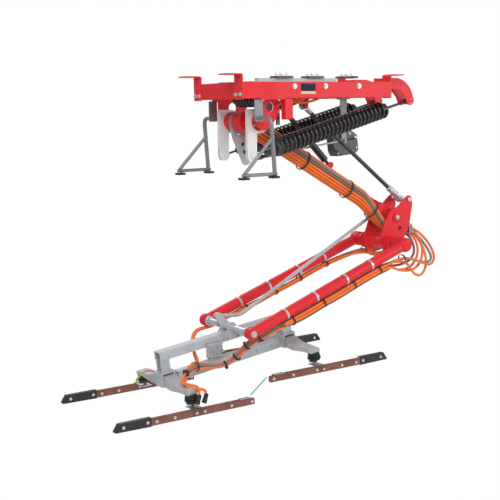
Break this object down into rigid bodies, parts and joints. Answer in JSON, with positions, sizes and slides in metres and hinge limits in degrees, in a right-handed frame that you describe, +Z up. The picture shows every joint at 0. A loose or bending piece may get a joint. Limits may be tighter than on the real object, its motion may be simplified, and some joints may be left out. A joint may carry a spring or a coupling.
{
  "type": "inverted charging pantograph",
  "caption": "Charging pantograph that hangs from a mast: a frame, a spring-balanced two-part arm that folds, and a self-levelling head with four contact strips.",
  "frame": {"origin": "centre of the four mast bolt holes, on the top face of the mounting brackets", "axes": "+Z up towards the mast, +X along the frame from the shaft end towards the spring hooks, +Y across"},
  "size_m": [2.7023, 0.814, 2.0187],
  "materials": {
    "red_paint": "satin",
    "grey_steel": "satin",
    "bright_steel": "satin",
    "black_steel": "satin",
    "white_paint": "gloss",
    "aluminium": "satin",
    "carbon": "matte",
    "insulator": "matte",
    "orange_cable": "satin",
    "rubber": "matte"
  },
  "bodies": {
    "frame": {"side_beam_near": "red_paint", "side_beam_far": "red_paint", "end_crossbeams": "red_paint", "inner_crossbeams": "red_paint", "mounting_brackets": "red_paint", "bearing_brackets": "red_paint", "stop_blocks": "red_paint", "spring_hooks": "red_paint", "stands": "grey_steel", "stand_pads": "rubber", "frame_lugs": "red_paint", "top_rail": "grey_steel", "rail_clamps": "black_steel", "drive_bracket": "grey_steel"},
    "main_arm": {"arm_shaft": "red_paint", "main_arm_tube": "red_paint", "knee_hub": "red_paint", "knee_pin": "bright_steel", "spring_levers": "white_paint", "drive_lever": "grey_steel", "damper_lug": "red_paint", "arm_cables": "orange_cable"},
    "forearm": {"cheek_plates": "red_paint", "coupling_pin": "bright_steel", "knee_cross_tube": "red_paint", "forearm_tube_near": "red_paint", "forearm_tube_far": "red_paint", "tube_bands": "bright_steel", "forearm_cables": "orange_cable"},
    "coupling": {"coupling_rod": "black_steel"},
    "guide": {"guide_rod": "grey_steel"},
    "damper_upper": {"damper_rod": "black_steel"},
    "damper_lower": {"damper_cylinder": "black_steel"},
    "spring_left": {"spring_near": "black_steel"},
    "spring_left_rod": {"spring_rod_near": "bright_steel"},
    "spring_right": {"spring_far": "black_steel"},
    "spring_right_rod": {"spring_rod_far": "bright_steel"},
    "gearbox": {"gear_motor": "black_steel"},
    "screw": {"drive_rod": "bright_steel"},
    "head": {"head_cables": "orange_cable", "head_shaft": "bright_steel", "head_upper_beam": "grey_steel", "head_lower_beam": "grey_steel", "head_yoke_near": "grey_steel", "head_yoke_far": "grey_steel", "head_posts": "grey_steel", "rocker_blocks": "grey_steel"},
    "rocker_left": {"rocker_arm_left": "grey_steel", "insulators_left": "insulator"},
    "rocker_right": {"rocker_arm_right": "grey_steel", "insulators_right": "insulator"},
    "strip_left_near": {"strip_holder_left_near": "aluminium", "contact_strip_left_near": "carbon"},
    "strip_left_far": {"strip_holder_left_far": "aluminium", "contact_strip_left_far": "carbon"},
    "strip_right_near": {"strip_holder_right_near": "aluminium", "contact_strip_right_near": "carbon"},
    "strip_right_far": {"strip_holder_right_far": "aluminium", "contact_strip_right_far": "carbon"}
  },
  "joints": [
    {"name": "main_arm_lift", "type": "hinge", "parent": "frame", "child": "main_arm", "pos_m": [-0.4, 0, -0.29], "axis": [0, 1, 0], "range_deg": [-27, 10]},
    {"name": "knee", "type": "hinge", "parent": "main_arm", "child": "forearm", "pos_m": [0.815, 0, -0.985], "axis": [0, 1, 0], "range_deg": [-20, 52]},
    {"name": "head_tilt", "type": "hinge", "parent": "forearm", "child": "head", "pos_m": [-0.555, 0, -1.6], "axis": [0, 1, 0], "range_deg": [-18, 7]},
    {"name": "coupling_swing", "type": "hinge", "parent": "frame", "child": "coupling", "pos_m": [0.075, 0, -0.2], "axis": [0, 1, 0], "range_deg": [-34, 13]},
    {"name": "guide_swing", "type": "hinge", "parent": "main_arm", "child": "guide", "pos_m": [0.75, 0.064, -0.963], "axis": [0, 1, 0], "range_deg": [-21, 54]},
    {"name": "damper_swing", "type": "hinge", "parent": "frame", "child": "damper_upper", "pos_m": [-0.092, 0.06, -0.172], "axis": [0, 1, 0], "range_deg": [-37, 14]},
    {"name": "damper_stroke", "type": "slide", "parent": "damper_upper", "child": "damper_lower", "axis": [0.7021, 0, -0.7121], "range_m": [-0.124, 0.047]},
    {"name": "spring_left_swing", "type": "hinge", "parent": "frame", "child": "spring_left", "pos_m": [0.84, -0.161, -0.178], "axis": [0, 1, 0], "range_deg": [-2, 1]},
    {"name": "spring_left_stretch", "type": "slide", "parent": "spring_left", "child": "spring_left_rod", "axis": [-0.9696, 0, -0.2446], "range_m": [-0.098, 0.037]},
    {"name": "spring_right_swing", "type": "hinge", "parent": "frame", "child": "spring_right", "pos_m": [0.84, 0.161, -0.178], "axis": [0, 1, 0], "range_deg": [-2, 1]},
    {"name": "spring_right_stretch", "type": "slide", "parent": "spring_right", "child": "spring_right_rod", "axis": [-0.9696, 0, -0.2446], "range_m": [-0.098, 0.037]},
    {"name": "gearbox_swing", "type": "hinge", "parent": "frame", "child": "gearbox", "pos_m": [0.48, 0.097, -0.44], "axis": [0, 1, 0], "range_deg": [-1, 3]},
    {"name": "screw_stroke", "type": "slide", "parent": "gearbox", "child": "screw", "axis": [-0.9925, 0, -0.1225], "range_m": [-0.116, 0.043]},
    {"name": "rocker_left_tilt", "type": "hinge", "parent": "head", "child": "rocker_left", "pos_m": [-1.02629, 0, -1.86441], "axis": [0.9925, 0, 0.1219], "range_deg": [-5, 5]},
    {"name": "strip_left_near_level", "type": "hinge", "parent": "rocker_left", "child": "strip_left_near", "pos_m": [-1.01447, -0.3, -1.96068], "axis": [0, 1, 0], "range_deg": [-8, 3]},
    {"name": "strip_left_far_level", "type": "hinge", "parent": "rocker_left", "child": "strip_left_far", "pos_m": [-1.01447, 0.3, -1.96068], "axis": [0, 1, 0], "range_deg": [-8, 3]},
    {"name": "rocker_right_tilt", "type": "hinge", "parent": "head", "child": "rocker_right", "pos_m": [-0.09826, 0, -1.75046], "axis": [0.9925, 0, 0.1219], "range_deg": [-5, 5]},
    {"name": "strip_right_near_level", "type": "hinge", "parent": "rocker_right", "child": "strip_right_near", "pos_m": [-0.08644, -0.3, -1.84674], "axis": [0, 1, 0], "range_deg": [-8, 3]},
    {"name": "strip_right_far_level", "type": "hinge", "parent": "rocker_right", "child": "strip_right_far", "pos_m": [-0.08644, 0.3, -1.84674], "axis": [0, 1, 0], "range_deg": [-8, 3]}
  ],
  "couplings": [
    {"joint": "knee", "follows": "main_arm_lift", "ratio": -1.9},
    {"joint": "head_tilt", "follows": "main_arm_lift", "ratio": 0.64},
    {"joint": "coupling_swing", "follows": "main_arm_lift", "ratio": 1.2401},
    {"joint": "guide_swing", "follows": "main_arm_lift", "ratio": -1.9624},
    {"joint": "damper_swing", "follows": "main_arm_lift", "ratio": 1.3226},
    {"joint": "damper_stroke", "follows": "main_arm_lift", "m_per_rad": 0.25797},
    {"joint": "gearbox_swing", "follows": "main_arm_lift", "ratio": -0.0889},
    {"joint": "screw_stroke", "follows": "main_arm_lift", "m_per_rad": 0.24243},
    {"joint": "spring_left_swing", "follows": "main_arm_lift", "ratio": 0.05957},
    {"joint": "spring_left_stretch", "follows": "main_arm_lift", "m_per_rad": 0.20506},
    {"joint": "strip_left_near_level", "follows": "main_arm_lift", "ratio": 0.26},
    {"joint": "strip_left_far_level", "follows": "main_arm_lift", "ratio": 0.26},
    {"joint": "spring_right_swing", "follows": "main_arm_lift", "ratio": 0.05957},
    {"joint": "spring_right_stretch", "follows": "main_arm_lift", "m_per_rad": 0.20506},
    {"joint": "strip_right_near_level", "follows": "main_arm_lift", "ratio": 0.26},
    {"joint": "strip_right_far_level", "follows": "main_arm_lift", "ratio": 0.26}
  ]
}
